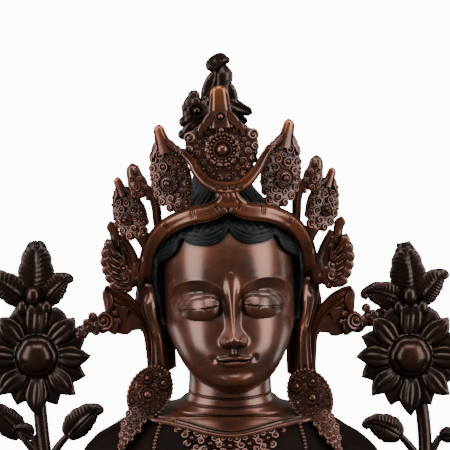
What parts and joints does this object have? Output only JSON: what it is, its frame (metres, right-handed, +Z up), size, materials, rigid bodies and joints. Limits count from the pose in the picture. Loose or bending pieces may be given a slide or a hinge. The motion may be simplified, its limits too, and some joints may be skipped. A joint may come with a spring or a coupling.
{
  "type": "tara bust",
  "caption": "Cast copper bust of a Tara, head and shoulders cut flat below, with a tall leaf crown, round earrings and a lotus beside each shoulder.",
  "frame": {"origin": "on the flat underside, below the neck", "axes": "+Z up, the figure looks along -Y, +X is the viewer's right"},
  "size_m": [0.2412, 0.0911, 0.2584],
  "materials": {
    "figure": "cast copper with a dark brown patina and a satin sheen; the hair is painted blue-black",
    "crown": "cast copper with a brown patina, near black in the recesses and worn golden at the leaf tips",
    "ornament": "cast copper with a dark brown patina",
    "lotus": "cast copper with a grey-brown satin patina"
  },
  "bodies": {
    "root": {"figure": "figure", "crown": "crown", "topknot_finial": "ornament", "earring_left": "ornament", "earring_right": "ornament", "lotus_left": "lotus", "lotus_right": "lotus"}
  },
  "joints": []
}
